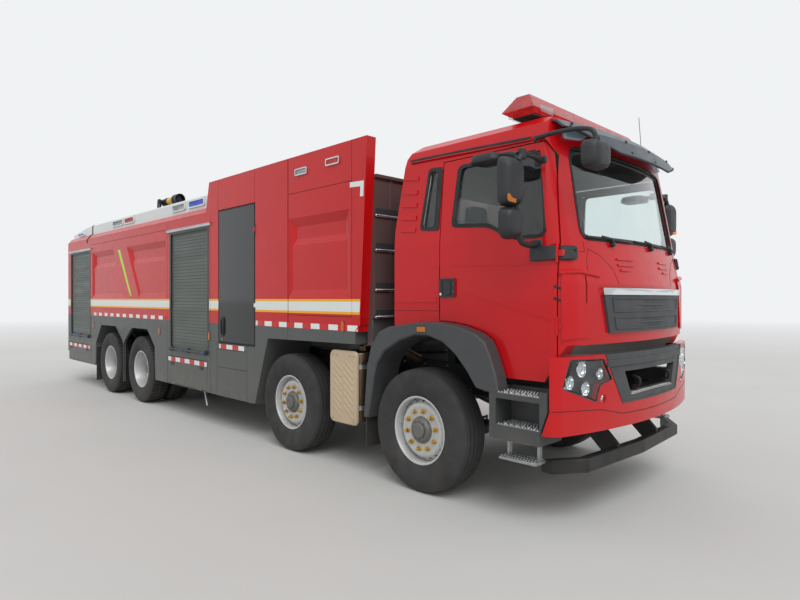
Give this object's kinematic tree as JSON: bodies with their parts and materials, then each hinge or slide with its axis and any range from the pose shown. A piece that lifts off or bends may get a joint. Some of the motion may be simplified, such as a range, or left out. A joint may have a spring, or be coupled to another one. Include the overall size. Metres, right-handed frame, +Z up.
{
  "type": "foam fire truck",
  "caption": "Eight-wheel foam fire truck with a flat-front cab, tinted pump-bay doors, roller-shutter lockers and a roof foam monitor.",
  "frame": {"origin": "on the ground, under the middle of the truck's length and width", "axes": "+Z up, the front faces -Y, the truck's right side is -X"},
  "size_m": [3.1, 11.7129, 3.7],
  "materials": {
    "red_paint": "gloss",
    "white_paint": "gloss",
    "silver_paint": "satin",
    "skirt_grey": "satin",
    "wall_brown": "satin",
    "charcoal_plastic": "matt",
    "black_plastic": "matt",
    "frame_paint": "satin",
    "axle_iron": "painted",
    "engine_iron": "painted",
    "wheel_silver": "satin",
    "tyre_rubber": "matt",
    "clear_glass": "polished",
    "tinted_panel": "gloss",
    "red_lens": "polished",
    "clear_lens": "polished",
    "aluminium": "brushed",
    "shutter_silver": "anodised",
    "shield_beige": "satin",
    "tank_metal": "satin",
    "seat_cloth": "woven",
    "monitor_black": "satin"
  },
  "bodies": {
    "truck": {"chassis_frame": "frame_paint", "driveline": "engine_iron", "axles": "axle_iron", "exhaust_box": "shield_beige", "fuel_tank": "tank_metal", "cab_interior": "seat_cloth", "flares_and_steps": "charcoal_plastic", "sun_visor": "charcoal_plastic", "front_mirror": "black_plastic", "light_bar": "red_lens", "body_front_wall": "wall_brown", "front_module": "red_paint", "main_body": "red_paint", "skirts": "skirt_grey", "roll_shutters": "shutter_silver", "roof_coaming": "white_paint", "rear_ladder": "aluminium", "cab_shell": "red_paint", "cab_glass": "clear_glass", "front_grille": "charcoal_plastic", "bumper": "red_paint", "lamps": "clear_lens"},
    "steering_1r": {"knuckle_1r": "axle_iron"},
    "steering_1l": {"knuckle_1l": "axle_iron"},
    "steering_2r": {"knuckle_2r": "axle_iron"},
    "steering_2l": {"knuckle_2l": "axle_iron"},
    "road_wheel_1r": {"tyre_1r": "tyre_rubber", "wheel_1r": "wheel_silver"},
    "road_wheel_1l": {"tyre_1l": "tyre_rubber", "wheel_1l": "wheel_silver"},
    "road_wheel_2r": {"tyre_2r": "tyre_rubber", "wheel_2r": "wheel_silver"},
    "road_wheel_2l": {"tyre_2l": "tyre_rubber", "wheel_2l": "wheel_silver"},
    "road_wheel_3r": {"tyre_3r": "tyre_rubber", "wheel_3r": "wheel_silver"},
    "road_wheel_3l": {"tyre_3l": "tyre_rubber", "wheel_3l": "wheel_silver"},
    "road_wheel_4r": {"tyre_4r": "tyre_rubber", "wheel_4r": "wheel_silver"},
    "road_wheel_4l": {"tyre_4l": "tyre_rubber", "wheel_4l": "wheel_silver"},
    "door_r": {"cab_door_r": "red_paint", "cab_door_glass_r": "clear_glass", "mirror_r": "black_plastic"},
    "bay_r": {"bay_door_r": "tinted_panel"},
    "flap_mid_r": {"step_flap_mid_r": "skirt_grey"},
    "flap_rear_r": {"step_flap_rear_r": "skirt_grey"},
    "door_l": {"cab_door_l": "red_paint", "cab_door_glass_l": "clear_glass", "mirror_l": "black_plastic"},
    "bay_l": {"bay_door_l": "tinted_panel"},
    "flap_mid_l": {"step_flap_mid_l": "skirt_grey"},
    "flap_rear_l": {"step_flap_rear_l": "skirt_grey"},
    "turret": {"monitor_turret": "monitor_black"},
    "barrel": {"monitor_barrel": "monitor_black"}
  },
  "joints": [
    {"name": "steer_1r", "type": "hinge", "parent": "truck", "child": "steering_1r", "pos_m": [-0.9, -4.28, 0.536], "axis": [0, 0, 1], "range_deg": [-35, 35]},
    {"name": "steer_1l", "type": "hinge", "parent": "truck", "child": "steering_1l", "pos_m": [0.9, -4.28, 0.536], "axis": [0, 0, 1], "range_deg": [-35, 35]},
    {"name": "steer_2r", "type": "hinge", "parent": "truck", "child": "steering_2r", "pos_m": [-0.9, -2.33, 0.536], "axis": [0, 0, 1], "range_deg": [-24.5, 24.5]},
    {"name": "steer_2l", "type": "hinge", "parent": "truck", "child": "steering_2l", "pos_m": [0.9, -2.33, 0.536], "axis": [0, 0, 1], "range_deg": [-24.5, 24.5]},
    {"name": "roll_1r", "type": "hinge", "parent": "steering_1r", "child": "road_wheel_1r", "pos_m": [-1.095, -4.28, 0.536], "axis": [1, 0, 0], "continuous": true},
    {"name": "roll_1l", "type": "hinge", "parent": "steering_1l", "child": "road_wheel_1l", "pos_m": [1.095, -4.28, 0.536], "axis": [1, 0, 0], "continuous": true},
    {"name": "roll_2r", "type": "hinge", "parent": "steering_2r", "child": "road_wheel_2r", "pos_m": [-1.095, -2.33, 0.536], "axis": [1, 0, 0], "continuous": true},
    {"name": "roll_2l", "type": "hinge", "parent": "steering_2l", "child": "road_wheel_2l", "pos_m": [1.095, -2.33, 0.536], "axis": [1, 0, 0], "continuous": true},
    {"name": "roll_3r", "type": "hinge", "parent": "truck", "child": "road_wheel_3r", "pos_m": [-1.095, 1.92, 0.536], "axis": [1, 0, 0], "continuous": true},
    {"name": "roll_3l", "type": "hinge", "parent": "truck", "child": "road_wheel_3l", "pos_m": [1.095, 1.92, 0.536], "axis": [1, 0, 0], "continuous": true},
    {"name": "roll_4r", "type": "hinge", "parent": "truck", "child": "road_wheel_4r", "pos_m": [-1.095, 3.32, 0.536], "axis": [1, 0, 0], "continuous": true},
    {"name": "roll_4l", "type": "hinge", "parent": "truck", "child": "road_wheel_4l", "pos_m": [1.095, 3.32, 0.536], "axis": [1, 0, 0], "continuous": true},
    {"name": "cab_door_r_swing", "type": "hinge", "parent": "truck", "child": "door_r", "pos_m": [-1.108, -5.552, 1.7], "axis": [0, 0, 1], "range_deg": [0, 70]},
    {"name": "bay_door_r_swing", "type": "hinge", "parent": "truck", "child": "bay_r", "pos_m": [-1.25, -1.637, 1.9], "axis": [0, 0, 1], "range_deg": [0, 85]},
    {"name": "flap_mid_r_fold", "type": "hinge", "parent": "truck", "child": "flap_mid_r", "pos_m": [-1.25, 0.1915, 0.445], "axis": [0, -1, 0], "range_deg": [0, 90]},
    {"name": "flap_rear_r_fold", "type": "hinge", "parent": "truck", "child": "flap_rear_r", "pos_m": [-1.25, 5.0325, 0.445], "axis": [0, -1, 0], "range_deg": [0, 90]},
    {"name": "cab_door_l_swing", "type": "hinge", "parent": "truck", "child": "door_l", "pos_m": [1.108, -5.552, 1.7], "axis": [0, 0, -1], "range_deg": [0, 70]},
    {"name": "bay_door_l_swing", "type": "hinge", "parent": "truck", "child": "bay_l", "pos_m": [1.25, -1.637, 1.9], "axis": [0, 0, -1], "range_deg": [0, 85]},
    {"name": "flap_mid_l_fold", "type": "hinge", "parent": "truck", "child": "flap_mid_l", "pos_m": [1.25, 0.1915, 0.445], "axis": [0, 1, 0], "range_deg": [0, 90]},
    {"name": "flap_rear_l_fold", "type": "hinge", "parent": "truck", "child": "flap_rear_l", "pos_m": [1.25, 5.0325, 0.445], "axis": [0, 1, 0], "range_deg": [0, 90]},
    {"name": "monitor_pan", "type": "hinge", "parent": "truck", "child": "turret", "pos_m": [0, 3.87, 3.3], "axis": [0, 0, 1], "range_deg": [-170, 170]},
    {"name": "monitor_tilt", "type": "hinge", "parent": "turret", "child": "barrel", "pos_m": [0, 3.87, 3.6], "axis": [-1, 0, 0], "range_deg": [-15, 75]}
  ],
  "couplings": [
    {"joint": "steer_1r", "follows": "steer_1l", "ratio": 1},
    {"joint": "steer_2r", "follows": "steer_1l", "ratio": 0.7},
    {"joint": "steer_2l", "follows": "steer_1l", "ratio": 0.7}
  ]
}
